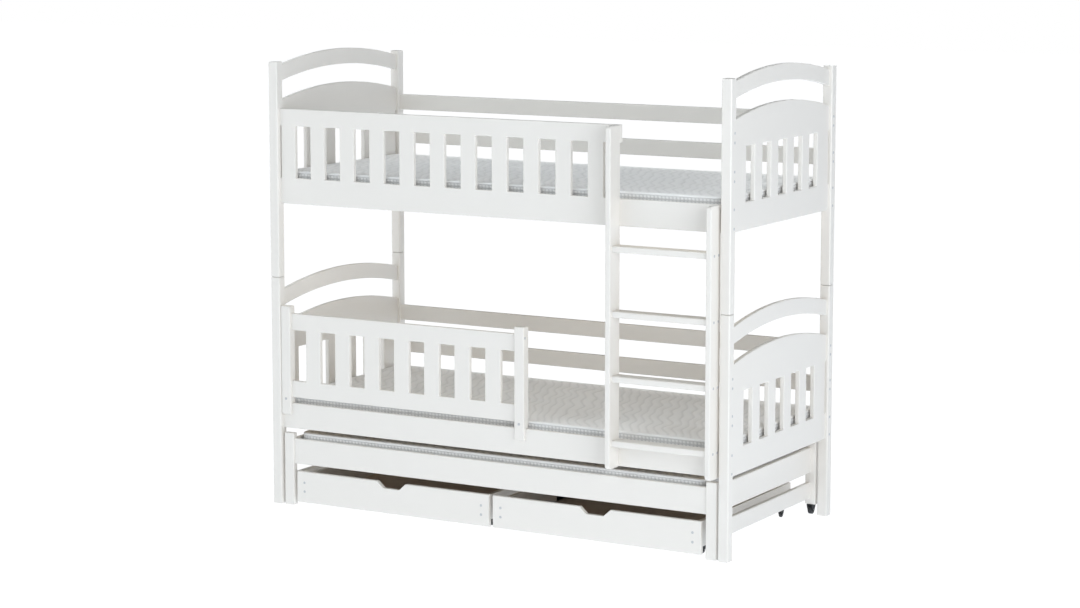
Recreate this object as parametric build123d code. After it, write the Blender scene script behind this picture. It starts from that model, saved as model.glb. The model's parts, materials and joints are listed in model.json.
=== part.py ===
from build123d import *
from math import sqrt
import os

# Bunk bed with a trundle bed and two drawers on casters below it, all in white lacquered pine.
# Millimetres. X runs along the bed, Y from the ladder side to the wall side, Z up from the floor.
# The origin is on the floor, under the middle of the whole bed with its ladder.

os.makedirs("parts", exist_ok=True)

# Posts and end frames
frame_length = 1980
frame_depth = 900
post_size = 40
post_bevel = 3.5
lower_post_height = 895
upper_post_height = 835
end_bevel = 1.5
dowel_diameter = 12
dowel_sides = 8
dowel_length = 80
dowel_clearance = 0.1

# Boards of the frame
board_thickness = 18
board_bevel = 2.5
rail_height = 100
plank_height = 62.5
front_board_inset = 3
back_board_inset = 8
lower_rail_bottom = 302
upper_rail_lift = 288
lower_first_plank_lift = 178
lower_second_plank_lift = 312
upper_first_plank_lift = 169.5
upper_second_plank_lift = 306

# Arched ends, each hung from the top of its post sections
lower_arch_drop = 54
upper_arch_drop = 15
arch_rise = 45
arch_gap = 73
arch_rail_depth = 62
slot_height = 201
end_slot_width = 72
end_slot_pitch = 135
end_slot_count = 5
post_relief = 6

# Upper guard, cut from one board with the front rail
guard_band_depth = 65
guard_slot_width = 70
guard_slot_pitch = 135
guard_first_slot = 9

# Lower guard, which lifts off
loose_guard_length = 1093.5
loose_guard_gap = 0.5
loose_post_width = 42
loose_post_depth = 34
loose_post_height = 382
loose_post_lip = 13
loose_lip_length = 44
loose_panel_lift = 23
loose_band_depth = 65
loose_slot_height = 200
loose_slot_width = 68
loose_slot_pitch = 135
loose_slot_count = 8

# Ladder
stile_thickness = 21
stile_depth = 74
stile_foot_drop = 2
stile_foot_round = 20
stile_top_round = 16
ladder_width = 383
ladder_post_gap = 8
rung_count = 4
first_rung_lift = 93.5
top_rung_drop = 77.4
rung_thickness = 23
rung_setback = 13
rung_back_gap = 1
rung_round = 5

# Slatted bases
ledger_size = 20
ledger_lift = 10
ledger_end_gap = 5
slat_count = 13
slat_width = 68
slat_thickness = 15
slat_end_gap = 2

# Mattresses
mattress_thickness = 84
mattress_crown = 4
mattress_crown_inset = 140
mattress_corner = 45
mattress_edge_round = 8
mattress_side_draw = 4
mattress_border_inset = 2.5
mattress_edge_roll = 17
mattress_rest_gap = 0.3
mattress_end_gap = 6
mattress_front_gap = 7
mattress_back_gap = 12

# Trundle bed
trundle_post_gap = 10
trundle_front_setback = 8
trundle_back_setback = 11
trundle_leg_width = 43
trundle_leg_depth = 26
trundle_top_gap = 18
trundle_back_leg_foot = 40
trundle_rail_drop = 21
trundle_end_inset = 20
trundle_low_board_bottom = 63
trundle_low_board_height = 63
trundle_ledger_lift = 5
trundle_mattress_end_gap = 9
trundle_mattress_front_gap = 4

# Drawers, which fill the space inside the trundle's legs and under its rail
drawer_first_gap = 13
drawer_middle_gap = 17
drawer_last_gap = 20
drawer_front_setback = 12
drawer_back_gap = 33
drawer_front_bottom = 13
drawer_rail_gap = 27
drawer_side_inset = 25
drawer_side_bottom = 28
drawer_side_height = 96
drawer_floor_thickness = 4
drawer_floor_lift = 8
drawer_groove_depth = 6
drawer_groove_clearance = 0.2
handle_top_width = 130
handle_bottom_width = 72
handle_depth = 26
handle_corner = 12

# Casters
trundle_wheel_diameter = 35
trundle_wheel_width = 16
trundle_cheek = 3
trundle_axle = 6
drawer_wheel_diameter = 25
drawer_wheel_width = 9
drawer_cheek = 2.5
drawer_axle = 4
drawer_caster_setback = 66
wheel_side_gap = 0.5
wheel_top_gap = 1
axle_clearance = 0.05

# Cover caps over the screws
cap_diameter = 8
cap_height = 0.8
cap_sides = 8
rail_screw_spacing = 68
plank_screw_spacing = 34
rung_screw_spacing = 34
drawer_screw_spacing = 35
loose_post_cap_lift = 17.5
loose_side_cap_drop = 41
loose_side_cap_setback = 9

# Planes that many pieces share
ladder_reach = stile_depth - (post_size - front_board_inset - board_thickness)
x_left = -frame_length / 2
x_right = frame_length / 2
y_front = -(frame_depth - ladder_reach) / 2
y_back = y_front + frame_depth
x_inner_left = x_left + post_size
x_inner_right = x_right - post_size
y_inner_front = y_front + post_size
y_inner_back = y_back - post_size
frame_top = lower_post_height + upper_post_height
front_board_back = y_inner_front - front_board_inset
front_board_face = front_board_back - board_thickness
back_board_face = y_inner_back + back_board_inset
panel_left = (post_size - board_thickness) / 2
upper_rail_bottom = lower_post_height + upper_rail_lift
rail_bottoms = {"lower": lower_rail_bottom, "upper": upper_rail_bottom}
arch_sides = {
    "lower": lower_post_height - lower_arch_drop - arch_rail_depth,
    "upper": frame_top - upper_arch_drop - arch_rail_depth,
}
plank_lifts = {
    "lower": (lower_first_plank_lift, lower_second_plank_lift),
    "upper": (upper_first_plank_lift, upper_second_plank_lift),
}


def block(x_span, y_span, z_span):
    # A block between two limits along each axis
    size = [high - low for low, high in (x_span, y_span, z_span)]
    middle = [(low + high) / 2 for low, high in (x_span, y_span, z_span)]
    return Pos(*middle) * Box(*size)


def board(x_span, y_span, z_span, along):
    # A planed board with its four long edges eased
    solid = block(x_span, y_span, z_span)
    return chamfer(solid.edges().filter_by(along), board_bevel)


def ease_sawn(solid, across, place, ends):
    # Eases a sawn board's edges on both faces, but not where its ends butt against other pieces
    edges = solid.faces().filter_by(across).edges()
    free = [edge for edge in edges if min(abs(place(edge.center()) - end) for end in ends) > board_bevel / 2]
    return chamfer(free, board_bevel)


def front_cut(profile, y_face, thickness):
    # A profile drawn in X and Z, cut from a board whose front face lies at y_face
    return Pos(0, y_face + thickness, 0) * extrude(Plane.XZ * profile, amount=thickness)


def end_cut(profile, x_face, thickness):
    # A profile drawn in Y and Z, cut from a board whose left face lies at x_face
    return Pos(x_face, 0, 0) * extrude(Plane.YZ * profile, amount=thickness)


def keep(name, *solids):
    # One file for each named piece or group of like pieces
    shape = solids[0] if len(solids) == 1 else Compound(children=list(solids))
    export_step(shape, os.path.join("parts", name + ".step"))


def post_section(x_low, y_low, z_low, z_high):
    # A square post with eased corners and a small bevel at each end
    section = block((x_low, x_low + post_size), (y_low, y_low + post_size), (z_low, z_high))
    section = chamfer(section.edges().filter_by(Axis.Z), post_bevel)
    return chamfer(section.faces().filter_by(Axis.Z).edges(), end_bevel)


def dowel(x_middle, y_middle, clearance=0):
    # The faceted dowel that joins two post sections, or with a clearance the hole for it
    section = RegularPolygon(dowel_diameter / 2 + clearance, dowel_sides)
    length = dowel_length + 2 * clearance
    return Pos(x_middle, y_middle, lower_post_height - length / 2) * extrude(section, amount=length)


def make_posts():
    corners = {
        "left_front": (x_left, y_front),
        "left_back": (x_left, y_inner_back),
        "right_front": (x_inner_right, y_front),
        "right_back": (x_inner_right, y_inner_back),
    }
    dowels = []
    for corner, (x_low, y_low) in corners.items():
        middle = (x_low + post_size / 2, y_low + post_size / 2)
        hole = dowel(*middle, clearance=dowel_clearance)
        dowels.append(dowel(*middle))
        keep(corner + "_post_lower", post_section(x_low, y_low, 0, lower_post_height) - hole)
        upper = post_section(x_low, y_low, lower_post_height, frame_top)
        keep(corner + "_post_upper", upper - hole)
    keep("post_dowels", *dowels)


def arch_face(z_low, z_side, low_rise, high_rise):
    # The area between two edges across the bed's width, each straight or arched
    low_left = (y_inner_front, z_low)
    low_right = (y_inner_back, z_low)
    high_left = (y_inner_front, z_side)
    high_right = (y_inner_back, z_side)
    middle = (y_inner_front + y_inner_back) / 2
    top = ThreePointArc(high_left, (middle, z_side + high_rise), high_right)
    bottom = Line(low_left, low_right)
    if low_rise:
        bottom = ThreePointArc(low_left, (middle, z_low + low_rise), low_right)
    outline = [Line(low_left, high_left), top, Line(high_right, low_right), bottom]
    return make_face(Curve() + outline)


def ease_end(solid):
    return ease_sawn(solid, Axis.X, lambda point: point.Y, (y_inner_front, y_inner_back))


def end_panel(storey, x_face):
    # An arched panel with a row of slots, and a relief beside each post at their height
    z_low = rail_bottoms[storey]
    face = arch_face(z_low, arch_sides[storey] - arch_gap, 0, arch_rise)
    middle = (y_inner_front + y_inner_back) / 2
    z_slot = z_low + rail_height + slot_height / 2
    for index in range(end_slot_count):
        y_slot = middle + (index - (end_slot_count - 1) / 2) * end_slot_pitch
        face -= Pos(y_slot, z_slot) * Rectangle(end_slot_width, slot_height)
    for y_edge in (y_inner_front, y_inner_back):
        face -= Pos(y_edge, z_slot) * Rectangle(2 * post_relief, slot_height)
    return ease_end(end_cut(face, x_face, board_thickness))


def arch_rail(storey, x_face):
    # The arched rail above the panel
    z_low = arch_sides[storey]
    face = arch_face(z_low, z_low + arch_rail_depth, arch_rise, arch_rise)
    return ease_end(end_cut(face, x_face, board_thickness))


def make_ends():
    for storey in ("lower", "upper"):
        for side, x_post in (("left", x_left), ("right", x_inner_right)):
            x_face = x_post + panel_left
            keep(storey + "_" + side + "_end_panel", end_panel(storey, x_face))
            keep(storey + "_" + side + "_arch_rail", arch_rail(storey, x_face))


def long_board(y_face, z_low, height):
    # A board that runs from post to post along the bed
    y_span = (y_face, y_face + board_thickness)
    return board((x_inner_left, x_inner_right), y_span, (z_low, z_low + height), Axis.X)


def make_rails():
    keep("lower_front_rail", long_board(front_board_face, lower_rail_bottom, rail_height))
    for storey in ("lower", "upper"):
        z_low = rail_bottoms[storey]
        keep(storey + "_back_rail", long_board(back_board_face, z_low, rail_height))
        planks = [long_board(back_board_face, z_low + lift, plank_height) for lift in plank_lifts[storey]]
        keep(storey + "_back_planks", *planks)


# The ladder stands against the right post, and the upper guard ends at its left stile
right_stile_x = x_inner_right - ladder_post_gap - stile_thickness
left_stile_x = right_stile_x - ladder_width - stile_thickness
rung_left = left_stile_x + stile_thickness
guard_bar = guard_slot_pitch - guard_slot_width
guard_top = upper_rail_bottom + rail_height + slot_height + guard_band_depth


def make_upper_guard():
    # One board: the rail at full length, then bars, then the band that ends at the ladder
    z_low = upper_rail_bottom
    z_rail = z_low + rail_height
    z_band = z_rail + slot_height
    slots = []
    x_slot = x_left + guard_first_slot
    while x_slot + guard_slot_width / 2 + guard_bar < left_stile_x:
        slots.append(x_slot)
        x_slot += guard_slot_pitch
    x_open = x_slot - guard_slot_width / 2
    outline = Polyline(
        (x_inner_left, z_low),
        (x_inner_right, z_low),
        (x_inner_right, z_rail),
        (x_open, z_rail),
        (x_open, z_band),
        (rung_left, z_band),
        (rung_left, guard_top),
        (x_inner_left, guard_top),
        close=True,
    )
    face = make_face(outline)
    for x_middle in slots:
        slot = Pos(x_middle, (z_rail + z_band) / 2)
        face -= slot * Rectangle(guard_slot_width, slot_height)
    guard = front_cut(face, front_board_face, board_thickness)
    guard = ease_sawn(guard, Axis.Y, lambda point: point.X, (x_inner_left, x_inner_right))
    keep("upper_guard_board", guard)


loose_left = x_inner_left + loose_guard_gap
loose_right = loose_left + loose_guard_length
loose_face = front_board_face - loose_post_lip
lower_rail_top = lower_rail_bottom + rail_height
loose_post_top = lower_rail_top + loose_post_height


def loose_post(x_low):
    # A guard post that stands on the side rail, with a lip that hangs down in front of it
    lip_foot = lower_rail_top - loose_lip_length
    profile = Polyline(
        (loose_face, lip_foot),
        (loose_face + loose_post_lip, lip_foot),
        (loose_face + loose_post_lip, lower_rail_top),
        (loose_face + loose_post_depth, lower_rail_top),
        (loose_face + loose_post_depth, loose_post_top),
        (loose_face, loose_post_top),
        close=True,
    )
    post = end_cut(make_face(profile), x_low, loose_post_width)
    front = post.edges().filter_by(Axis.Z).group_by(Axis.Y)[0]
    top = post.faces().sort_by(Axis.Z)[-1].edges()
    foot = post.faces().filter_by(Axis.Z).sort_by(Axis.Z)[0].edges()
    return chamfer(front + top + foot.filter_by(Axis.X).sort_by(Axis.Y)[:1], board_bevel)


def make_loose_guard():
    left_post_right = loose_left + loose_post_width
    right_post_left = loose_right - loose_post_width
    z_low = lower_rail_top + loose_panel_lift
    z_high = z_low + 2 * loose_band_depth + loose_slot_height
    middle = (left_post_right + right_post_left) / 2
    face = Pos(middle, (z_low + z_high) / 2) * Rectangle(right_post_left - left_post_right, z_high - z_low)
    for index in range(loose_slot_count):
        x_slot = middle + (index - (loose_slot_count - 1) / 2) * loose_slot_pitch
        face -= Pos(x_slot, (z_low + z_high) / 2) * Rectangle(loose_slot_width, loose_slot_height)
    panel = front_cut(face, front_board_face, board_thickness)
    panel = ease_sawn(panel, Axis.Y, lambda point: point.X, (left_post_right, right_post_left))
    keep("lower_guard_panel", panel)
    keep("lower_guard_left_post", loose_post(loose_left))
    keep("lower_guard_right_post", loose_post(right_post_left))


stile_foot = lower_rail_bottom - stile_foot_drop
first_rung_height = lower_rail_bottom + first_rung_lift
rung_pitch = (upper_rail_bottom - top_rung_drop - first_rung_height) / (rung_count - 1)


def stile(x_low, z_high):
    # A ladder side with its two front corners rounded, flat against the rails at its back
    middle = Pos(front_board_face - stile_depth / 2, (stile_foot + z_high) / 2)
    face = middle * Rectangle(stile_depth, z_high - stile_foot)
    face = fillet(face.vertices().group_by(Axis.X)[0].sort_by(Axis.Y)[0], stile_foot_round)
    face = fillet(face.vertices().group_by(Axis.X)[0].sort_by(Axis.Y)[-1], stile_top_round)
    side = end_cut(face, x_low, stile_thickness)
    return chamfer(side.edges().filter_by(Axis.Z).group_by(Axis.Y)[0], board_bevel)


def rung_height(index):
    return first_rung_height + index * rung_pitch


rung_front = front_board_face - stile_depth + rung_setback
rung_back = front_board_face - rung_back_gap


def make_ladder():
    keep("ladder_left_stile", stile(left_stile_x, guard_top))
    keep("ladder_right_stile", stile(right_stile_x, upper_rail_bottom + rail_height))
    rungs = []
    for index in range(rung_count):
        z_low = rung_height(index) - rung_thickness / 2
        z_span = (z_low, z_low + rung_thickness)
        rung = block((rung_left, right_stile_x), (rung_front, rung_back), z_span)
        rungs.append(fillet(rung.edges().filter_by(Axis.X), rung_round))
    keep("ladder_rungs", *rungs)


def slat_row(x_low, x_high, y_low, y_high, z_low):
    # Slats at an even pitch, with half a gap at each end
    pitch = (x_high - x_low) / slat_count
    y_span = (y_low + slat_end_gap, y_high - slat_end_gap)
    slats = []
    for index in range(slat_count):
        x_middle = x_low + (index + 1 / 2) * pitch
        x_span = (x_middle - slat_width / 2, x_middle + slat_width / 2)
        slats.append(block(x_span, y_span, (z_low, z_low + slat_thickness)))
    return slats


def ledger_pair(x_low, x_high, y_low, y_high, z_low):
    # The battens on the inner faces of two rails, which the slats lie on
    z_span = (z_low, z_low + ledger_size)
    front = block((x_low, x_high), (y_low, y_low + ledger_size), z_span)
    back = block((x_low, x_high), (y_high - ledger_size, y_high), z_span)
    return [front, back]


def make_slatted_bases():
    ledgers = []
    x_span = (x_inner_left + ledger_end_gap, x_inner_right - ledger_end_gap)
    for storey in ("lower", "upper"):
        z_ledger = rail_bottoms[storey] + ledger_lift
        ledgers += ledger_pair(*x_span, front_board_back, back_board_face, z_ledger)
        slats = slat_row(*x_span, front_board_back, back_board_face, z_ledger + ledger_size)
        keep(storey + "_slats", *slats)
    keep("slat_ledgers", *ledgers)


def drawn_in_outline(x_span, y_span, inset):
    # A long rectangle with round corners, whose sides pull in towards their middles
    x_low, x_high = x_span[0] + inset, x_span[1] - inset
    y_low, y_high = y_span[0] + inset, y_span[1] - inset
    x_middle = (x_low + x_high) / 2
    y_middle = (y_low + y_high) / 2
    draw = mattress_side_draw
    sides = [
        ThreePointArc((x_low, y_low), (x_middle, y_low + draw), (x_high, y_low)),
        ThreePointArc((x_high, y_low), (x_high - draw, y_middle), (x_high, y_high)),
        ThreePointArc((x_high, y_high), (x_middle, y_high - draw), (x_low, y_high)),
        ThreePointArc((x_low, y_high), (x_low + draw, y_middle), (x_low, y_low)),
    ]
    face = make_face(Curve() + sides)
    return fillet(face.vertices(), mattress_corner)


def mattress(x_span, y_span, z_low):
    # A rolled edge below, a border that lies a little further in, a rolled edge above, and a crown
    z_edge = mattress_thickness - mattress_crown
    turn = mattress_edge_round * (1 - sqrt(1 / 2))
    rings = [
        (mattress_edge_round / 2, 0),
        (0, mattress_edge_round),
        (mattress_border_inset, mattress_edge_roll),
        (mattress_border_inset, z_edge - mattress_edge_roll),
        (0, z_edge - mattress_edge_round),
        (turn, z_edge - turn),
        (mattress_edge_round, z_edge),
        (mattress_crown_inset, mattress_thickness),
    ]
    sections = []
    for inset, height in rings:
        sections.append(Pos(0, 0, z_low + height) * drawn_in_outline(x_span, y_span, inset))
    return loft(sections, ruled=True)


def make_mattresses():
    x_span = (
        x_left + panel_left + board_thickness + mattress_end_gap,
        x_right - panel_left - board_thickness - mattress_end_gap,
    )
    y_span = (front_board_back + mattress_front_gap, back_board_face - mattress_back_gap)
    for storey in ("lower", "upper"):
        z_slats = rail_bottoms[storey] + ledger_lift + ledger_size + slat_thickness
        keep(storey + "_mattress", mattress(x_span, y_span, z_slats + mattress_rest_gap))


def wheel(diameter, width, axle):
    # A solid wheel with a bore for its axle
    bore = axle / 2 + axle_clearance
    tyre = Pos(0, (bore + diameter / 2) / 2) * Rectangle(width, diameter / 2 - bore)
    return revolve(tyre, Axis.X)


def caster_fork(x_axle, y_axle, z_top, sizes, cheek, axle):
    # A plate under the piece it carries, two cheeks that taper down past the axle, and the axle pin
    diameter, width = sizes
    radius = diameter / 2
    inner = width / 2 + wheel_side_gap
    outer = inner + cheek
    z_plate = diameter + wheel_top_gap
    plate = block((-outer, outer), (-radius, radius), (z_plate, z_top))
    tip = axle / 2 + cheek
    z_tip = radius - tip
    flanks = Polyline((-tip, z_tip), (-radius, z_plate), (radius, z_plate), (tip, z_tip), close=True)
    side = make_face(flanks)
    fork = plate + end_cut(side, -outer, cheek) + end_cut(side, inner, cheek)
    fork += Pos(0, 0, radius) * Rot(0, 90, 0) * Cylinder(axle / 2, 2 * inner)
    return Pos(x_axle, y_axle, 0) * fork


trundle_left = x_inner_left + trundle_post_gap
trundle_right = x_inner_right - trundle_post_gap
trundle_front = y_front + trundle_front_setback
trundle_back = y_back - trundle_back_setback
trundle_legs_x = (trundle_left, trundle_right - trundle_leg_width)
leg_back = trundle_front + trundle_leg_depth
leg_front = trundle_back - trundle_leg_depth
trundle_leg_top = lower_rail_bottom - trundle_top_gap
trundle_rail_bottom = trundle_leg_top - trundle_rail_drop - rail_height
end_board_left = trundle_left + trundle_end_inset
end_board_right = trundle_right - trundle_end_inset


def trundle_leg(x_low, y_low, z_low):
    x_span = (x_low, x_low + trundle_leg_width)
    y_span = (y_low, y_low + trundle_leg_depth)
    leg = board(x_span, y_span, (z_low, trundle_leg_top), Axis.Z)
    return chamfer(leg.faces().sort_by(Axis.Z)[-1].edges(), end_bevel)


def make_trundle_frame():
    keep("trundle_front_legs", *[trundle_leg(x, trundle_front, 0) for x in trundle_legs_x])
    keep("trundle_back_legs", *[trundle_leg(x, leg_front, trundle_back_leg_foot) for x in trundle_legs_x])
    x_span = (trundle_left + trundle_leg_width, trundle_right - trundle_leg_width)
    z_span = (trundle_rail_bottom, trundle_rail_bottom + rail_height)
    keep("trundle_front_rail", board(x_span, (leg_back - board_thickness, leg_back), z_span, Axis.X))
    keep("trundle_back_rail", board(x_span, (leg_front, leg_front + board_thickness), z_span, Axis.X))
    low_span = (trundle_low_board_bottom, trundle_low_board_bottom + trundle_low_board_height)
    boards = []
    for x_low in (end_board_left, end_board_right - board_thickness):
        for heights in (z_span, low_span):
            boards.append(board((x_low, x_low + board_thickness), (leg_back, leg_front), heights, Axis.Y))
    keep("trundle_end_boards", *boards)


def make_trundle_bed():
    x_low = end_board_left + board_thickness
    x_high = end_board_right - board_thickness
    z_ledger = trundle_rail_bottom + trundle_ledger_lift
    x_span = (x_low + ledger_end_gap, x_high - ledger_end_gap)
    keep("trundle_ledgers", *ledger_pair(*x_span, leg_back, leg_front, z_ledger))
    keep("trundle_slats", *slat_row(*x_span, leg_back, leg_front, z_ledger + ledger_size))
    z_low = z_ledger + ledger_size + slat_thickness + mattress_rest_gap
    x_span = (x_low + trundle_mattress_end_gap, x_high - trundle_mattress_end_gap)
    y_span = (leg_back + trundle_mattress_front_gap, leg_front - mattress_back_gap)
    keep("trundle_mattress", mattress(x_span, y_span, z_low))


def make_trundle_casters():
    sizes = (trundle_wheel_diameter, trundle_wheel_width)
    forks = []
    wheels = []
    y_axle = leg_front + trundle_leg_depth / 2
    for x_low in trundle_legs_x:
        x_axle = x_low + trundle_leg_width / 2
        forks.append(caster_fork(x_axle, y_axle, trundle_back_leg_foot, sizes, trundle_cheek, trundle_axle))
        wheels.append(Pos(x_axle, y_axle, trundle_wheel_diameter / 2) * wheel(*sizes, trundle_axle))
    keep("trundle_caster_forks", *forks)
    keep("trundle_wheels", *wheels)


drawer_face = y_front + drawer_front_setback
drawer_inside_front = drawer_face + board_thickness
drawer_end = leg_front - drawer_back_gap
drawer_front_height = trundle_rail_bottom - drawer_rail_gap - drawer_front_bottom
left_drawer_x = trundle_left + trundle_leg_width + drawer_first_gap
right_drawer_end = trundle_right - trundle_leg_width - drawer_last_gap
drawer_width = (right_drawer_end - left_drawer_x - drawer_middle_gap) / 2
drawer_lefts = {"left": left_drawer_x, "right": left_drawer_x + drawer_width + drawer_middle_gap}
drawer_side_top = drawer_side_bottom + drawer_side_height
drawer_floor_low = drawer_side_bottom + drawer_floor_lift


def drawer_floor(x_low, clearance=0):
    # The bottom sheet, which sits in a groove on all four sides, or the space of that groove
    x_span = (
        x_low + drawer_side_inset + board_thickness - drawer_groove_depth - clearance,
        x_low + drawer_width - drawer_side_inset - board_thickness + drawer_groove_depth + clearance,
    )
    y_span = (
        drawer_inside_front - drawer_groove_depth - clearance,
        drawer_end - board_thickness + drawer_groove_depth + clearance,
    )
    z_span = (drawer_floor_low - clearance, drawer_floor_low + drawer_floor_thickness + clearance)
    return block(x_span, y_span, z_span)


def drawer_front(x_low):
    # A front with a hand hold cut in its top edge
    x_middle = x_low + drawer_width / 2
    z_high = drawer_front_bottom + drawer_front_height
    x_span = (x_low, x_low + drawer_width)
    front = board(x_span, (drawer_face, drawer_inside_front), (drawer_front_bottom, z_high), Axis.X)
    notch = Polyline(
        (x_middle - handle_top_width / 2, z_high),
        (x_middle - handle_bottom_width / 2, z_high - handle_depth),
        (x_middle + handle_bottom_width / 2, z_high - handle_depth),
        (x_middle + handle_top_width / 2, z_high),
        close=True,
    )
    cut = make_face(notch)
    cut = fillet(cut.vertices().group_by(Axis.Y)[0], handle_corner)
    return front - front_cut(cut, drawer_face, board_thickness)


def drawer_box(x_low):
    # Two sides and a back between them
    z_span = (drawer_side_bottom, drawer_side_top)
    left = x_low + drawer_side_inset
    right = x_low + drawer_width - drawer_side_inset
    y_span = (drawer_inside_front, drawer_end)
    back_span = (drawer_end - board_thickness, drawer_end)
    return [
        block((left, left + board_thickness), y_span, z_span),
        block((right - board_thickness, right), y_span, z_span),
        block((left + board_thickness, right - board_thickness), back_span, z_span),
    ]


def make_drawer(side, x_low):
    name = side + "_drawer_"
    groove = drawer_floor(x_low, drawer_groove_clearance)
    keep(name + "front", drawer_front(x_low) - groove)
    keep(name + "box", *[wall - groove for wall in drawer_box(x_low)])
    keep(name + "floor", drawer_floor(x_low))
    sizes = (drawer_wheel_diameter, drawer_wheel_width)
    sides_x = (
        x_low + drawer_side_inset + board_thickness / 2,
        x_low + drawer_width - drawer_side_inset - board_thickness / 2,
    )
    forks = []
    rows = {
        "front": drawer_inside_front + drawer_caster_setback,
        "back": drawer_end - drawer_caster_setback,
    }
    for row, y_axle in rows.items():
        wheels = []
        for x_axle in sides_x:
            forks.append(caster_fork(x_axle, y_axle, drawer_side_bottom, sizes, drawer_cheek, drawer_axle))
            wheels.append(Pos(x_axle, y_axle, drawer_wheel_diameter / 2) * wheel(*sizes, drawer_axle))
        keep(name + row + "_wheels", *wheels)
    keep(name + "caster_forks", *forks)
    caps = []
    z_middle = drawer_front_bottom + drawer_front_height / 2
    for x_side in sides_x:
        for z_cap in (z_middle - drawer_screw_spacing / 2, z_middle + drawer_screw_spacing / 2):
            caps.append(cap((x_side, drawer_face, z_cap), "front"))
    keep(name + "screw_caps", *caps)


def cap(place, facing):
    # A flat eight-sided cover cap, lying on the face that it is set against
    disc = extrude(RegularPolygon(cap_diameter / 2, cap_sides), amount=cap_height)
    turns = {"left": Rot(0, -90, 0), "right": Rot(0, 90, 0), "front": Rot(90, 0, 0)}
    return Pos(*place) * turns[facing] * disc


def screw_heights():
    # The heights at which every post is drilled: two screws in each rail and each plank
    heights = []
    for storey in ("lower", "upper"):
        z_low = rail_bottoms[storey]
        boards = [(z_low + rail_height / 2, rail_screw_spacing)]
        boards += [(z_low + lift + plank_height / 2, plank_screw_spacing) for lift in plank_lifts[storey]]
        for z_middle, spacing in boards:
            heights += [z_middle - spacing / 2, z_middle + spacing / 2]
    return heights


def make_frame_caps():
    caps = []
    y_rows = (front_board_face + board_thickness / 2, back_board_face + board_thickness / 2)
    for x_face, facing in ((x_left, "left"), (x_right, "right")):
        for y_row in y_rows:
            caps += [cap((x_face, y_row, z), facing) for z in screw_heights()]
    y_middle = (rung_front + rung_back) / 2
    for x_face, facing in ((left_stile_x, "left"), (right_stile_x + stile_thickness, "right")):
        for index in range(rung_count):
            for side in (-1, 1):
                y_cap = y_middle + side * rung_screw_spacing / 2
                caps.append(cap((x_face, y_cap, rung_height(index)), facing))
    for x_middle in (loose_left + loose_post_width / 2, loose_right - loose_post_width / 2):
        caps.append(cap((x_middle, loose_face, lower_rail_top + loose_post_cap_lift), "front"))
    side_place = (loose_right, loose_face + loose_side_cap_setback, loose_post_top - loose_side_cap_drop)
    caps.append(cap(side_place, "right"))
    keep("frame_screw_caps", *caps)


make_posts()
make_ends()
make_rails()
make_upper_guard()
make_loose_guard()
make_ladder()
make_slatted_bases()
make_mattresses()
make_trundle_frame()
make_trundle_bed()
make_trundle_casters()
for drawer_side, drawer_x in drawer_lefts.items():
    make_drawer(drawer_side, drawer_x)
make_frame_caps()
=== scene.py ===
import json
import math

import bpy
from mathutils import Euler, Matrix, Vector, noise

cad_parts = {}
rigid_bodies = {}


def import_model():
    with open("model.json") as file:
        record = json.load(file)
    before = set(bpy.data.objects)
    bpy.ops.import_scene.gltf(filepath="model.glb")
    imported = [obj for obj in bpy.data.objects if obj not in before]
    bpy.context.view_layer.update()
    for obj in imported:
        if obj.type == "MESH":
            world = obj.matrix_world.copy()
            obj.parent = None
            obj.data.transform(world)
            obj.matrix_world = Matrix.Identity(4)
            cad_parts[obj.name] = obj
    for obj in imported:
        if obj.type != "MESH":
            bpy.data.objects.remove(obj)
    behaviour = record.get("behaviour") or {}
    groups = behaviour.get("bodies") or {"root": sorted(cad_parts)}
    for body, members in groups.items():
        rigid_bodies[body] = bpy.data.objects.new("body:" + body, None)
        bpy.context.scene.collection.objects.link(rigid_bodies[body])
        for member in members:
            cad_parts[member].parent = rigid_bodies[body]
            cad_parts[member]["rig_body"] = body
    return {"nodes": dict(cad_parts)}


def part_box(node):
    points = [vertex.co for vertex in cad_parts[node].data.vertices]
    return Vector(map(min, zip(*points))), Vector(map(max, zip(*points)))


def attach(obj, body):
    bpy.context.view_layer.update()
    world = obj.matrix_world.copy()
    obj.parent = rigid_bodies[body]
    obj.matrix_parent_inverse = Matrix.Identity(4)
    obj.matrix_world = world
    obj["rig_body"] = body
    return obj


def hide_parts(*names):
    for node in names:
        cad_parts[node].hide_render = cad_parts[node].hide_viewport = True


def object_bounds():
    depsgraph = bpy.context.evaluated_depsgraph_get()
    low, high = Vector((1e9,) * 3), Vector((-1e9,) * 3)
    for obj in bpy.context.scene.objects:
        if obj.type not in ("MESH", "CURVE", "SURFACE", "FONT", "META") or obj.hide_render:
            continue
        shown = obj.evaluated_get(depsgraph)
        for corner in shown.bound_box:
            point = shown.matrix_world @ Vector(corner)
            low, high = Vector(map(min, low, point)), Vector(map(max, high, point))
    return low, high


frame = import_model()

# Bunk bed with a trundle bed and two drawers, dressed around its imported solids.
# Metres. X runs along the bed, Y from the ladder side to the wall side, Z up.

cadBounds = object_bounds()
bodyOf = {node: obj["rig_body"] for node, obj in frame["nodes"].items()}
alongX, alongY, alongZ = 0, 1, 2
touching = 0.00005  # points nearer than this are one point
touchingSpun = 0.00001  # the same for the small spun pieces
colourMix = {"first": 6, "second": 7, "result": 2}  # places of a Mix node's colour sockets
print("frame loaded:", len(frame["nodes"]), "nodes")


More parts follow.
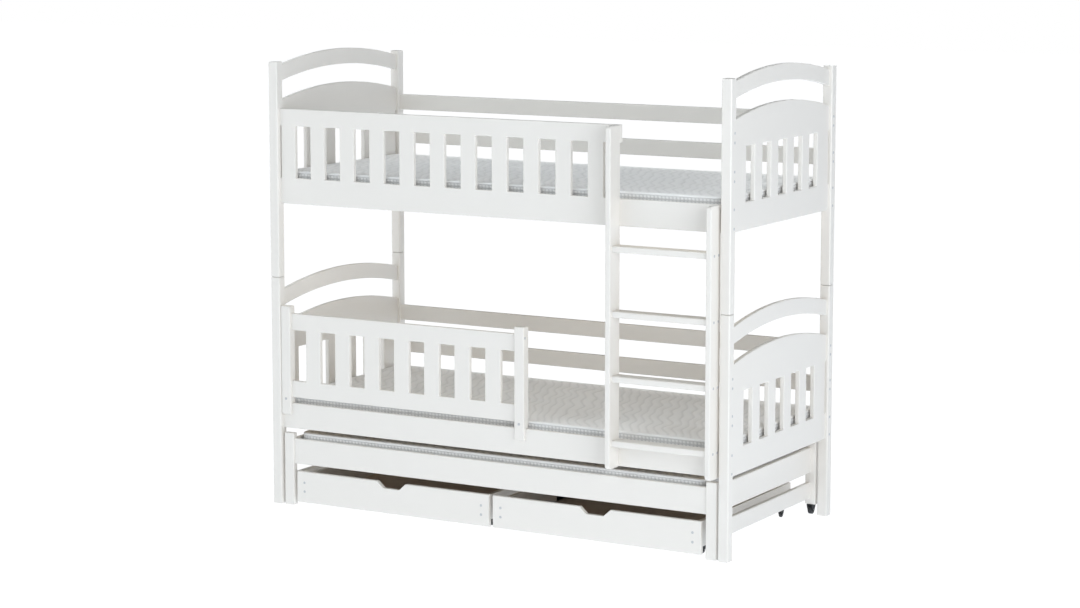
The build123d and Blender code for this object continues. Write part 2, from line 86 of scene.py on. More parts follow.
class Wire:
    # the output of a shader node, which can be used in sums like a number
    def __init__(self, finish, socket):
        self.finish = finish
        self.socket = socket

    def maths(self, operation, first, second):
        return self.finish.node("ShaderNodeMath", {"operation": operation}, {0: first, 1: second})

    def __add__(self, other):
        return self.maths("ADD", self, other)

    def __radd__(self, other):
        return self.maths("ADD", other, self)

    def __sub__(self, other):
        return self.maths("SUBTRACT", self, other)

    def __rsub__(self, other):
        return self.maths("SUBTRACT", other, self)

    def __mul__(self, other):
        return self.maths("MULTIPLY", self, other)

    def __rmul__(self, other):
        return self.maths("MULTIPLY", other, self)


class Finish:
    # the nodes of one owner, which is a material or the world
    def __init__(self, owner):
        self.owner = owner
        self.owner.use_nodes = True
        self.tree = owner.node_tree
        self.tree.nodes.clear()

    def node(self, kind, settings=None, sockets=None, out=0):
        made = self.tree.nodes.new(kind)
        for key, value in (settings or {}).items():
            if key == "stops":
                while len(made.color_ramp.elements) < len(value):
                    made.color_ramp.elements.new(1)
                for element, (place, colour) in zip(made.color_ramp.elements, value):
                    element.position = place
                    element.color = (*colour, 1)
            else:
                setattr(made, key, value)
        for key, value in (sockets or {}).items():
            if isinstance(value, Wire):
                self.tree.links.new(value.socket, made.inputs[key])
            else:
                made.inputs[key].default_value = value
        return Wire(self, made.outputs[out]) if made.outputs else None

    def noise(self, size, detail, roughness=0.5):
        # spots of one size, or of a size along each axis
        sizes = size if isinstance(size, list) else [size] * 3
        scale = [1 / length for length in sizes]
        spot = self.node("ShaderNodeTexCoord", out="Object")
        place = self.node("ShaderNodeMapping", None, {"Vector": spot, "Scale": scale})
        sockets = {"Vector": place, "Scale": 1, "Detail": detail, "Roughness": roughness}
        return self.node("ShaderNodeTexNoise", None, sockets, "Fac")

    def blend(self, factor, first, second):
        # each colour is a wire or (red, green, blue)
        sockets = {"Factor": factor}
        for key, colour in (("first", first), ("second", second)):
            sockets[colourMix[key]] = colour if isinstance(colour, Wire) else (*colour, 1)
        return self.node("ShaderNodeMix", {"data_type": "RGBA"}, sockets, colourMix["result"])

    def surface(self, sockets, height, relief, reliefHeight):
        bump = {"Height": height, "Strength": relief, "Distance": reliefHeight}
        normal = self.node("ShaderNodeBump", None, bump)
        shader = self.node("ShaderNodeBsdfPrincipled", None, {**sockets, "Normal": normal})
        self.node("ShaderNodeOutputMaterial", None, {"Surface": shader})
        return self.owner


def drawnOut(width, length, along):
    # the sizes of a grain's spots, which are as long as this along one axis
    sizes = [width] * 3
    sizes[along] = length
    return sizes


def shared(first, second, share):
    # two patterns in one, of which the first has this share
    return first * share + second * (1 - share)


def varied(middle, spread, pattern):
    # a value that a noise pattern, which lies round 0.5, raises and lowers
    return middle + (pattern - 0.5) * spread


lacquer = {
    "thick": (0.864, 0.834, 0.790),
    "thin": (0.844, 0.811, 0.762),
    "grainWidth": 0.0035,
    "grainLength": 0.16,
    "patchSize": 0.22,
    "peelSize": 0.0022,
    "patchShare": 0.6,  # of the tint, whose rest is grain
    "grainShare": 0.7,  # of the relief, whose rest is the spray's fine peel
    "roughness": 0.36,
    "roughnessSpread": 0.10,
    "coat": 0.22,
    "coatRoughness": 0.18,
    "relief": 0.16,
    "reliefHeight": 0.0004,
}


def makeLacquer(name, along):
    # sprayed white lacquer: the pine's grain still shows a little in relief and gloss
    finish = Finish(bpy.data.materials.new(name))
    grainSizes = drawnOut(lacquer["grainWidth"], lacquer["grainLength"], along)
    grain = finish.noise(grainSizes, detail=3, roughness=0.55)
    patches = finish.noise(lacquer["patchSize"], detail=2)
    peel = finish.noise(lacquer["peelSize"], detail=1)
    tint = shared(patches, grain, lacquer["patchShare"])
    return finish.surface(
        {
            "Base Color": finish.blend(tint, lacquer["thin"], lacquer["thick"]),
            "Roughness": varied(lacquer["roughness"], lacquer["roughnessSpread"], grain),
            "Coat Weight": lacquer["coat"],
            "Coat Roughness": lacquer["coatRoughness"],
        },
        shared(grain, peel, lacquer["grainShare"]),
        lacquer["relief"],
        lacquer["reliefHeight"],
    )


pine = {
    # colours from the late wood of a ring to its early wood and on, as (place, colour)
    "rings": [
        (0.34, (0.560, 0.370, 0.190)),
        (0.46, (0.720, 0.540, 0.330)),
        (0.62, (0.810, 0.660, 0.450)),
        (0.80, (0.720, 0.540, 0.330)),
    ],
    "ringWidth": 0.011,
    "ringLength": 0.55,
    "fibreWidth": 0.0011,
    "fibreLength": 0.05,
    "ringShare": 0.86,  # of the tone, whose rest is fibres
    "fibreShare": 0.7,  # of the relief, whose rest is rings
    "roughness": 0.62,
    "roughnessSpread": 0.2,
    "relief": 0.35,
    "reliefHeight": 0.0005,
}


def makePine(name, along):
    # planed pine without lacquer, with its rings drawn out along the board
    finish = Finish(bpy.data.materials.new(name))
    ringSizes = drawnOut(pine["ringWidth"], pine["ringLength"], along)
    fibreSizes = drawnOut(pine["fibreWidth"], pine["fibreLength"], along)
    rings = finish.noise(ringSizes, detail=2, roughness=0.4)
    fibres = finish.noise(fibreSizes, detail=3, roughness=0.6)
    tone = shared(rings, fibres, pine["ringShare"])
    colour = finish.node("ShaderNodeValToRGB", {"stops": pine["rings"]}, {"Fac": tone})
    roughness = varied(pine["roughness"], pine["roughnessSpread"], fibres)
    return finish.surface(
        {"Base Color": colour, "Roughness": roughness},
        shared(fibres, rings, pine["fibreShare"]),
        pine["relief"],
        pine["reliefHeight"],
    )


hardboard = {
    "dark": (0.56, 0.46, 0.38),
    "light": (0.70, 0.59, 0.50),
    "fleck": 0.0018,
    "cloud": 0.09,
    "fleckShare": 0.65,
    "roughness": 0.52,
    "roughnessSpread": 0.2,
    "relief": 0.2,
    "reliefHeight": 0.0003,
}


def makeHardboard(name):
    # the smooth face of brown hardboard: pressed flecks in a cloudy ground
    finish = Finish(bpy.data.materials.new(name))
    flecks = finish.noise(hardboard["fleck"], detail=3, roughness=0.7)
    clouds = finish.noise(hardboard["cloud"], detail=2)
    tone = shared(flecks, clouds, hardboard["fleckShare"])
    roughness = varied(hardboard["roughness"], hardboard["roughnessSpread"], flecks)
    return finish.surface(
        {
            "Base Color": finish.blend(tone, hardboard["dark"], hardboard["light"]),
            "Roughness": roughness,
        },
        flecks,
        hardboard["relief"],
        hardboard["reliefHeight"],
    )


ticking = {
    "knit": (0.945, 0.940, 0.930),
    "shade": (0.870, 0.865, 0.852),
    # grey of the painted shade in the seams and channels
    "stitch": (0.620, 0.618, 0.612),
    "loop": 0.0016,
    "loopFlatness": 0.35,
    "loopSpread": 0.6,
    "cloud": 0.05,
    "cloudShare": 0.55,
    # how far the painted shade goes towards that grey
    "seamShade": 0.75,
    "roughness": 0.9,
    "sheen": 0.25,
    "sheenRoughness": 0.5,
    "relief": 0.25,
    "reliefHeight": 0.0006,
}


def makeTicking(name):
    # white knitted mattress cover, with painted shade greying its stitched seams and channels
    finish = Finish(bpy.data.materials.new(name))
    loops = 0.5
    for axis in (alongX, alongY, alongZ):
        width = ticking["loop"] / ticking["loopFlatness"]
        pattern = finish.noise(drawnOut(width, ticking["loop"], axis), detail=1)
        loops = varied(loops, ticking["loopSpread"], pattern)
    clouds = finish.noise(ticking["cloud"], detail=3)
    tone = shared(clouds, loops, ticking["cloudShare"])
    ground = finish.blend(tone, ticking["shade"], ticking["knit"])
    # the points' painted shade, darkest in the seams and channels, blends the knit towards the
    # painted shade grey
    seam = finish.node("ShaderNodeAttribute", {"attribute_name": "seam"}, out="Fac")
    return finish.surface(
        {
            "Base Color": finish.blend(seam * ticking["seamShade"], ground, ticking["stitch"]),
            "Roughness": ticking["roughness"],
            "Sheen Weight": ticking["sheen"],
            "Sheen Roughness": ticking["sheenRoughness"],
        },
        loops,
        ticking["relief"],
        ticking["reliefHeight"],
    )


plastics = {
    "capPlastic": {
        "dark": (0.52, 0.525, 0.535),
        "light": (0.60, 0.605, 0.615),
        "speck": 0.0008,
        "roughness": 0.5,
        "roughnessSpread": 0.1,
        "relief": 0.1,
    },
    "forkPlastic": {
        "dark": (0.010, 0.010, 0.011),
        "light": (0.022, 0.022, 0.023),
        "speck": 0.0009,
        "roughness": 0.55,
        "roughnessSpread": 0.15,
        "relief": 0.3,
    },
    "wheelPlastic": {
        "dark": (0.018, 0.018, 0.019),
        "light": (0.034, 0.034, 0.036),
        "speck": 0.0012,
        "roughness": 0.34,
        "roughnessSpread": 0.2,
        "relief": 0.2,
    },
}
moulding = {"specksInScuff": 12, "speckShare": 0.5, "reliefHeight": 0.0002}


def makePlastic(name):
    # moulded plastic with a fine speckle in its relief and wider scuffs in its gloss
    finish = Finish(bpy.data.materials.new(name))
    plastic = plastics[name]
    specks = finish.noise(plastic["speck"], detail=3, roughness=0.6)
    scuffs = finish.noise(plastic["speck"] * moulding["specksInScuff"], detail=2)
    tone = shared(specks, scuffs, moulding["speckShare"])
    roughness = varied(plastic["roughness"], plastic["roughnessSpread"], scuffs)
    return finish.surface(
        {
            "Base Color": finish.blend(tone, plastic["dark"], plastic["light"]),
            "Roughness": roughness,
        },
        specks,
        plastic["relief"],
        moulding["reliefHeight"],
    )


zinc = {
    "dark": (0.46, 0.46, 0.47),
    "light": (0.62, 0.62, 0.63),
    "marksPerMetre": 900,
    "roughness": 0.35,
    "roughnessSpread": 0.2,
    "relief": 0.1,
    "reliefHeight": 0.0001,
}


def makeSteel(name):
    # zinc-plated steel of the caster pins
    finish = Finish(bpy.data.materials.new(name))
    marks = finish.noise(1 / zinc["marksPerMetre"], detail=2)
    return finish.surface(
        {
            "Base Color": finish.blend(marks, zinc["dark"], zinc["light"]),
            "Metallic": 1.0,
            "Roughness": varied(zinc["roughness"], zinc["roughnessSpread"], marks),
        },
        marks,
        zinc["relief"],
        zinc["reliefHeight"],
    )


lacquers = [makeLacquer("whiteLacquer" + letter, axis) for axis, letter in enumerate("XYZ")]
pines = [makePine("barePine" + letter, axis) for axis, letter in enumerate("XYZ")]
brownHardboard = makeHardboard("brownHardboard")
knittedTicking = makeTicking("knittedTicking")
capPlastic, forkPlastic, wheelPlastic = [makePlastic(name) for name in plastics]
zincSteel = makeSteel("zincSteel")
print("finishes made")


def select(*objs):
    # nothing but these is selected, and the first is active
    if bpy.context.object and bpy.context.object.mode != "OBJECT":
        bpy.ops.object.mode_set(mode="OBJECT")
    bpy.ops.object.select_all(action="DESELECT")
    for obj in objs:
        obj.select_set(True)
    bpy.context.view_layer.objects.active = objs[0]


def editAll(obj):
    select(obj)
    bpy.ops.object.mode_set(mode="EDIT")
    bpy.ops.mesh.select_all(action="SELECT")


def placed(name, data):
    # puts a mesh, a light or a camera in the scene
    obj = bpy.data.objects.new(name, data)
    bpy.context.scene.collection.objects.link(obj)
    return obj


def newObject(name, points, edges, faces):
    mesh = bpy.data.meshes.new(name)
    mesh.from_pydata(points, edges, faces)
    obj = placed(name, mesh)
    select(obj)
    return obj


def joined(objs, name):
    select(*objs)
    if len(objs) > 1:
        bpy.ops.object.join()
    obj = bpy.context.object
    obj.name = name
    return obj


def pieceName(node):
    # left_drawer_front becomes leftDrawerFront
    first, *others = node.split("_")
    return first + "".join(word.capitalize() for word in others)


def finishPiece(obj, node, material=None):
    # the piece rides in the place of its node, and takes a finish unless it has its own
    if material:
        obj.data.materials.clear()
        obj.data.materials.append(material)
    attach(obj, bodyOf[node])
    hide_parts(node)


def solidBoxes(node):
    # the lowest and highest corner of each separate solid of a node, by their places
    mesh = frame["nodes"][node].data
    spots = {}
    group = []
    for vertex in mesh.vertices:
        key = tuple(round(c / touching) for c in vertex.co)
        group.append(spots.setdefault(key, len(spots)))
    parent = list(range(len(spots)))

    def root(index):
        while parent[index] != index:
            parent[index] = parent[parent[index]]
            index = parent[index]
        return index

    for face in mesh.polygons:
        first = root(group[face.vertices[0]])
        for corner in face.vertices[1:]:
            parent[root(group[corner])] = first
    boxes = {}
    for vertex in mesh.vertices:
        start = (vertex.co.copy(), vertex.co.copy())
        low, high = boxes.setdefault(root(group[vertex.index]), start)
        for axis in (alongX, alongY, alongZ):
            low[axis] = min(low[axis], vertex.co[axis])
            high[axis] = max(high[axis], vertex.co[axis])
    return sorted(boxes.values(), key=lambda pair: tuple(round(c, 4) for c in pair[0]))


shading = {"sharpFrom": 20, "smoothUpTo": 50, "spunSmoothUpTo": 35, "flatWithin": 0.5}  # degrees


def roundEdges(obj, width, steps, butted=()):
    # rounds the sharp edges, but not those in a plane (axis, place) where a board is butted
    select(obj)
    bpy.ops.object.shade_smooth()
    bpy.ops.object.mode_set(mode="EDIT")
    bpy.ops.mesh.select_mode(type="EDGE")
    bpy.ops.mesh.select_all(action="DESELECT")
    bpy.ops.mesh.edges_select_sharp(sharpness=math.radians(shading["sharpFrom"]))
    bpy.ops.object.mode_set(mode="OBJECT")
    mesh = obj.data
    weights = mesh.attributes.new("bevel_weight_edge", "FLOAT", "EDGE").data
    for edge in mesh.edges:
        ends = [mesh.vertices[index].co for index in edge.vertices]
        meets = any(
            all(abs(end[axis] - place) < touching for end in ends) for axis, place in butted
        )
        weights[edge.index].value = 1.0 if edge.select and not meets else 0.0
    bevel = obj.modifiers.new("roundedEdges", "BEVEL")
    bevel.limit_method = "WEIGHT"
    bevel.width = width
    bevel.segments = steps
    bpy.ops.object.modifier_apply(modifier=bevel.name)
    bpy.ops.object.shade_smooth_by_angle(angle=math.radians(shading["smoothUpTo"]))
    weighted = obj.modifiers.new("flatFaces", "WEIGHTED_NORMAL")
    weighted.keep_sharp = True
    bpy.ops.object.modifier_apply(modifier=weighted.name)


def copiedNode(node):
    # a merged copy of a node's own mesh, with each flat face in one piece
    obj = placed(pieceName(node), frame["nodes"][node].data.copy())
    editAll(obj)
    bpy.ops.mesh.customdata_custom_splitnormals_clear()
    bpy.ops.mesh.remove_doubles(threshold=touching)
    bpy.ops.mesh.dissolve_limited(angle_limit=math.radians(shading["flatWithin"]))
    bpy.ops.object.mode_set(mode="OBJECT")
    return obj


# Planed pieces are copies of their solids whose edges are rounded.
planed = {
    "postEdge": 0.0021,
    "boardEdge": 0.0015,
    "slatEdge": 0.0016,
    "thinEdge": 0.0010,  # of rungs and drawer boxes
    "jointGap": 0.0007,  # each post section ends this far from the joint
    "steps": 3,
}


def planedPiece(node, woods, along, edge, butted=False, joint=None):
    # woods has a finish for each way of the grain
    # a butted board keeps its ends sharp, and one with a joint (height, way) is drawn back there
    obj = copiedNode(node)
    if joint is not None:
        height, way = joint
        for vertex in obj.data.vertices:
            if abs(vertex.co.z - height) < touching:
                vertex.co.z += way * planed["jointGap"]
    ends = [(along, corner[along]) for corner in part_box(node)] if butted else ()
    roundEdges(obj, edge, planed["steps"], ends)
    finishPiece(obj, node, woods[along])


def makePlanedPieces():
    for side in ("left_front", "left_back", "right_front", "right_back"):
        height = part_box(side + "_post_upper")[0].z
        for level, way in (("lower", -1), ("upper", 1)):
            node = side + "_post_" + level
            planedPiece(node, lacquers, alongZ, planed["postEdge"], joint=(height, way))
    for node in ("lower_front_rail", "lower_back_rail", "upper_back_rail", "lower_back_planks",
                 "upper_back_planks", "trundle_front_rail", "trundle_back_rail"):
        planedPiece(node, lacquers, alongX, planed["boardEdge"], butted=True)
    for node in ("trundle_front_legs", "trundle_back_legs", "ladder_left_stile",
                 "ladder_right_stile", "lower_guard_left_post", "lower_guard_right_post"):
        planedPiece(node, lacquers, alongZ, planed["boardEdge"])
    planedPiece("trundle_end_boards", lacquers, alongY, planed["boardEdge"], butted=True)
    planedPiece("ladder_rungs", lacquers, alongX, planed["thinEdge"], butted=True)
    for node in ("lower_slats", "upper_slats", "trundle_slats"):
        planedPiece(node, pines, alongY, planed["slatEdge"])
    for node in ("slat_ledgers", "trundle_ledgers"):
        planedPiece(node, pines, alongX, planed["slatEdge"])
    for side in ("left", "right"):
        planedPiece(side + "_drawer_front", lacquers, alongX, planed["boardEdge"])
        planedPiece(side + "_drawer_box", lacquers, alongY, planed["thinEdge"])


makePlanedPieces()
print("planed pieces made")


# Sawn boards are made from a flat sheet. The slotted ones have a band below their slots.
sawn = {"edge": 0.0030, "steps": 4, "archStep": 0.016, "archRise": 0.045}
endPanel = {
    "band": 0.100,
    "slotHeight": 0.201,
    "slotWidth": 0.072,
    "pitch": 0.135,
    "count": 5,
    "relief": 0.006,  # depth of the half slot that each end has against its post
}
archRail = {"depth": 0.062}
upperGuard = {
    "band": 0.100,
    "slotHeight": 0.201,
    "slotWidth": 0.070,
    "pitch": 0.135,
    "firstSlot": 0.009,
}
lowerGuard = {
    "band": 0.065,
    "slotHeight": 0.200,
    "slotWidth": 0.068,
    "pitch": 0.135,
    "count": 8,
}


def sawnFace(name, low, high, thin):
    # a flat sheet that fills a board's face, looking along +X or -Y
    centre = (low + high) / 2
    size = high - low
    if thin == alongX:
        centre.x = low.x
        turn, scale = (0, math.pi / 2, 0), (size.z, size.y, 1)
    else:
        centre.y = high.y
        turn, scale = (math.pi / 2, 0, 0), (size.x, size.z, 1)
    bpy.ops.object.select_all(action="DESELECT")
    bpy.ops.mesh.primitive_plane_add(size=1, location=centre, rotation=turn)
    obj = bpy.context.object
    obj.name = name
    obj.scale = scale
    bpy.ops.object.transform_apply(location=True, rotation=True, scale=True)
    return obj


def cutFace(obj, axis, places):
    # saw lines right across the sheet
    for place in places:
        spot = Vector((0, 0, 0))
        spot[axis] = place
        normal = Vector((0, 0, 0))
        normal[axis] = 1
        editAll(obj)
        bpy.ops.mesh.bisect(plane_co=spot, plane_no=normal)
    bpy.ops.object.mode_set(mode="OBJECT")


def openFace(obj, along, openings):
    # takes out the faces whose middle lies in an opening (start, end, bottom, top)
    editAll(obj)
    bpy.ops.mesh.select_mode(type="FACE")
    bpy.ops.mesh.select_all(action="DESELECT")
    bpy.ops.object.mode_set(mode="OBJECT")
    for face in obj.data.polygons:
        place, height = face.center[along], face.center.z
        face.select = any(
            start < place < end and bottom < height < top
            for start, end, bottom, top in openings
        )
    bpy.ops.object.mode_set(mode="EDIT")
    bpy.ops.mesh.delete(type="FACE")
    bpy.ops.object.mode_set(mode="OBJECT")


def thicken(obj, thickness):
    select(obj)
    wall = obj.modifiers.new("thickness", "SOLIDIFY")
    wall.thickness = thickness
    wall.offset = 1
    bpy.ops.object.modifier_apply(modifier=wall.name)


def archHeight(y, low, high):
    # the rise of an arc over the width between two posts
    rise = sawn["archRise"]
    half = (high.y - low.y) / 2
    radius = (half ** 2 + rise ** 2) / (2 * rise)
    off = y - (low.y + high.y) / 2
    return math.sqrt(radius ** 2 - off ** 2) - (radius - rise)


def archSteps(low, high):
    count = round((high.y - low.y) / sawn["archStep"])
    return [low.y + (high.y - low.y) * index / count for index in range(1, count)]


def sawnBoard(node, flatTop, openings=(), archedFrom=None):
    # saws the sheet out, raises what lies above archedFrom to the arch, and thickens it
    low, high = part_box(node)
    thin, along = (alongX, alongY) if high.x - low.x < high.y - low.y else (alongY, alongX)
    obj = sawnFace(pieceName(node), low, Vector((high.x, high.y, flatTop)), thin)
    sides = [place for opening in openings for place in opening[:2]]
    cuts = [place for place in sides if low[along] < place < high[along]]
    if archedFrom is not None:
        clearOf = lambda y: all(abs(y - cut) > sawn["edge"] for cut in cuts)
        cuts = cuts + [y for y in archSteps(low, high) if clearOf(y)]
    cutFace(obj, along, cuts)
    if openings:
        heights = {height for opening in openings for height in opening[2:]}
        cutFace(obj, alongZ, sorted(height for height in heights if low.z < height < high.z))
        openFace(obj, along, openings)
    if archedFrom is not None:
        for vertex in obj.data.vertices:
            if vertex.co.z > archedFrom - touching:
                vertex.co.z += archHeight(vertex.co.y, low, high)
    thicken(obj, high[thin] - low[thin])
    roundEdges(obj, sawn["edge"], sawn["steps"], [(along, low[along]), (along, high[along])])
    finishPiece(obj, node, lacquers[along])


def slotRow(board, middle, bottom):
    # openings (start, end, bottom, top) in even steps about the middle
    half = board["slotWidth"] / 2
    openings = []
    for index in range(board["count"]):
        place = middle + (index - (board["count"] - 1) / 2) * board["pitch"]
        openings.append((place - half, place + half, bottom, bottom + board["slotHeight"]))
    return openings


def makeEndPanel(node):
    # an arched top, a row of slots, and a shallow half slot against each post
    low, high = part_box(node)
    bottom = low.z + endPanel["band"]
    top = bottom + endPanel["slotHeight"]
    half = endPanel["slotWidth"] / 2
    openings = slotRow(endPanel, (low.y + high.y) / 2, bottom)
    openings.append((low.y - half, low.y + endPanel["relief"], bottom, top))
    openings.append((high.y - endPanel["relief"], high.y + half, bottom, top))
    flatTop = high.z - sawn["archRise"]
    sawnBoard(node, flatTop, openings, archedFrom=flatTop)


def makeArchRail(node):
    low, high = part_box(node)
    sawnBoard(node, low.z + archRail["depth"], archedFrom=low.z)


def makeUpperGuard(node):
    # one board: the rail at full length, bars above it, and a band that ends at the ladder
    low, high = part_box(node)
    ladderLow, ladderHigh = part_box("ladder_left_stile")
    bottom = low.z + upperGuard["band"]
    top = bottom + upperGuard["slotHeight"]
    half = upperGuard["slotWidth"] / 2
    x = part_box("left_front_post_upper")[0].x + upperGuard["firstSlot"]
    openings = []
    while x + upperGuard["pitch"] - half < ladderLow.x:
        openings.append((x - half, x + half, bottom, top))
        x += upperGuard["pitch"]
    openings.append((x - half, high.x + half, bottom, top))
    openings.append((ladderHigh.x, high.x + half, top, high.z + half))
    sawnBoard(node, high.z, openings)


def makeLowerGuard(node):
    low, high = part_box(node)
    middle = (low.x + high.x) / 2
    sawnBoard(node, high.z, slotRow(lowerGuard, middle, low.z + lowerGuard["band"]))


for storey in ("lower", "upper"):
    for side in ("left", "right"):
        makeEndPanel(storey + "_" + side + "_end_panel")
        makeArchRail(storey + "_" + side + "_arch_rail")
makeUpperGuard("upper_guard_board")
makeLowerGuard("lower_guard_panel")
print("sawn boards made")


mattress = {
    "cell": 0.015,  # width of a quilted cell in the border
    "rowHeight": 0.0130,  # height of a row of cells
    "cellPoints": 3,  # columns and rows of points in a cell, the first on its seams
    "puff": 0.0024,
    # painted shade of the sunken seams between the border's quilted cells
    "stitchShade": 1.0,
    "edge": 0.0065,  # radius of the taped edge
    "upperEdgeSteps": 5,
    "lowerEdgeSteps": 4,
    "seamDepth": 0.0024,
    "seamHeight": 0.0030,
    "seamLip": (0.4, 0.35),  # where the lip of a seam lies, in its depth and its height
    # painted shade along the lip of each border seam, under the taped edge
    "lipShade": 0.1,
    "crown": 0.004,
    "crownIn": 0.140,  # the top has its full height this far in
    "corner": 0.045,
    "draw": 0.004,  # how far the middles of the sides are drawn in
    "drawPower": 6,
    "channelPitch": 0.036,
    "channelDepth": 0.0030,
    "channelRim": 0.02,  # the channels run out over this width
    "channelRoundness": 0.7,
    "channelLine": 0.6,  # the painted shade of a channel reaches up to here
    # strength of the painted shade in the channels of the top
    "channelShade": 0.9,
    "channelStray": 2.4,
    "strayPerMetre": 7,
    "channelLean": 0.40,
    "channelBend": 1.5,
    "channelWave": 0.170,
    "fill": 0.9,
}


def topPoint(x, y, halfX, halfY, corner):
    # moves a point of a square grid so that every ring of the grid gets round corners
    inward = min(halfX - abs(x), halfY - abs(y))
    ringX, ringY = halfX - inward, halfY - inward
    radius = max(corner - inward, 0.0)
    signX, signY = math.copysign(1, x), math.copysign(1, y)
    if abs(x) <= ringX - radius or abs(y) <= ringY - radius:
        facing = (signX, 0) if halfX - abs(x) < halfY - abs(y) else (0, signY)
        return x, y, facing, inward
    if ringX - abs(x) < ringY - abs(y):
        walked = abs(y) - (ringY - radius)
    else:
        walked = 2 * radius - (abs(x) - (ringX - radius))
    angle = walked / (2 * radius) * math.pi / 2
    facing = (signX * math.cos(angle), signY * math.sin(angle))
    newX = signX * (ringX - radius) + radius * facing[0]
    newY = signY * (ringY - radius) + radius * facing[1]
    return newX, newY, facing, inward


def channelShape(x, y):
    # 0 in the bottom of a stitched channel of the top, 1 halfway between two channels
    bend = mattress["channelBend"] * math.sin(2 * math.pi * y / mattress["channelWave"])
    spot = Vector((x, y, 0)) * mattress["strayPerMetre"]
    stray = mattress["channelStray"] * noise.noise(spot)
    across = (x + mattress["channelLean"] * y) / mattress["channelPitch"]
    return abs(math.sin(math.pi * across + bend / 2 + stray)) ** mattress["channelRoundness"]


def borderRows(thickness):
    # rows down the side, as (inset, height, row within its cell or None, painted shade)
    edge = mattress["edge"]
    seamDepth, seamHeight = mattress["seamDepth"], mattress["seamHeight"]
    lipIn, lipUp = seamDepth * mattress["seamLip"][0], seamHeight * mattress["seamLip"][1]
    top = thickness - mattress["crown"]
    high = top - edge - seamHeight
    low = edge + seamHeight
    rows = []
    for step in range(1, mattress["upperEdgeSteps"] + 1):
        angle = math.pi / 2 * step / mattress["upperEdgeSteps"]
        inset = edge * (1 - math.sin(angle))
        rows.append((inset, top - edge * (1 - math.cos(angle)), None, 0.0))
    rows.append((lipIn, high + lipUp, None, mattress["lipShade"]))
    cellPoints = mattress["cellPoints"]
    count = cellPoints * round((high - low) / mattress["rowHeight"])
    for step in range(count + 1):
        rows.append((seamDepth, high + (low - high) * step / count, step % cellPoints, 0.0))
    rows.append((lipIn, low - lipUp, None, mattress["lipShade"]))
    for step in range(mattress["lowerEdgeSteps"]):
        angle = math.pi / 2 * step / mattress["lowerEdgeSteps"]
        inset = edge * (1 - math.cos(angle))
        rows.append((inset, edge * (1 - math.sin(angle)), None, 0.0))
    return rows


def makeMattress(node):
    # crowned top with waved channels, taped edges, and a border in small quilted cells
    low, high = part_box(node)
    middle = (low + high) / 2
    edge = mattress["edge"]
    halfX, halfY = (high.x - low.x) / 2 - edge, (high.y - low.y) / 2 - edge
    cellPoints = mattress["cellPoints"]
    columns = cellPoints * round(2 * halfX / mattress["cell"])
    lines = cellPoints * round(2 * halfY / mattress["cell"])
    crownBase = high.z - mattress["crown"]
    points, paintedShades, outward = [], [], []

    def drawnIn(x, y):
        # the sides pull in towards their middles
        shareX, shareY = x / (halfX + edge), y / (halfY + edge)
        pullX = mattress["draw"] * (1 - shareY ** 2) * abs(shareX) ** mattress["drawPower"]
        pullY = mattress["draw"] * (1 - shareX ** 2) * abs(shareY) ** mattress["drawPower"]
        return middle.x + x - math.copysign(pullX, x), middle.y + y - math.copysign(pullY, y)

    for line in range(lines + 1):
        for column in range(columns + 1):
            x = halfX * (2 * column / columns - 1)
            y = halfY * (2 * line / lines - 1)
            x, y, facing, inward = topPoint(x, y, halfX, halfY, mattress["corner"] - edge)
            share = min(inward / mattress["crownIn"], 1.0)
            channel = channelShape(x, y)
            fade = min(inward / mattress["channelRim"], 1.0)
            z = crownBase + mattress["crown"] * share * share * (3 - 2 * share)
            z -= mattress["channelDepth"] * (1 - channel) * fade
            points.append((*drawnIn(x, y), z))
            # painted shade, darkest in the bottom of each channel
            shade = max(0.0, 1 - channel / mattress["channelLine"])
            paintedShades.append(shade * mattress["channelShade"] * fade)
            outward.append((x, y, facing))
    faces = []
    wide = columns + 1
    for line in range(lines):
        for column in range(columns):
            first = line * wide + column
            faces.append((first, first + 1, first + wide + 1, first + wide))
    rim = list(range(columns))
    rim += [line * wide + columns for line in range(lines)]
    rim += [lines * wide + column for column in range(columns, 0, -1)]
    rim += [line * wide for line in range(lines, 0, -1)]
    above = rim
    for inset, height, cellRow, seam in borderRows(high.z - low.z):
        row = list(range(len(points), len(points) + len(rim)))
        for index, rimPoint in enumerate(rim):
            x, y, facing = outward[rimPoint]
            out = edge - inset
            if cellRow is not None:
                onSeam = index % cellPoints == 0 or cellRow == 0
                # the sunken seams between cells get painted shade, the puffs none
                seam = mattress["stitchShade"] if onSeam else 0.0
                out += 0 if onSeam else mattress["puff"]
            x, y = x + facing[0] * out, y + facing[1] * out
            points.append((*drawnIn(x, y), low.z + height))
            paintedShades.append(seam)
            after = (index + 1) % len(rim)
            faces.append((above[index], row[index], row[after], above[after]))
        above = row
    faces.append(tuple(reversed(above)))
    obj = newObject(pieceName(node), points, [], faces)
    # the painted shade is stored on the points for the ticking
    values = obj.data.attributes.new("seam", "FLOAT", "POINT").data
    values.foreach_set("value", paintedShades)
    bpy.ops.object.shade_smooth()
    finishPiece(obj, node, knittedTicking)


for node in ("upper_mattress", "lower_mattress", "trundle_mattress"):
    makeMattress(node)
print("mattresses made")


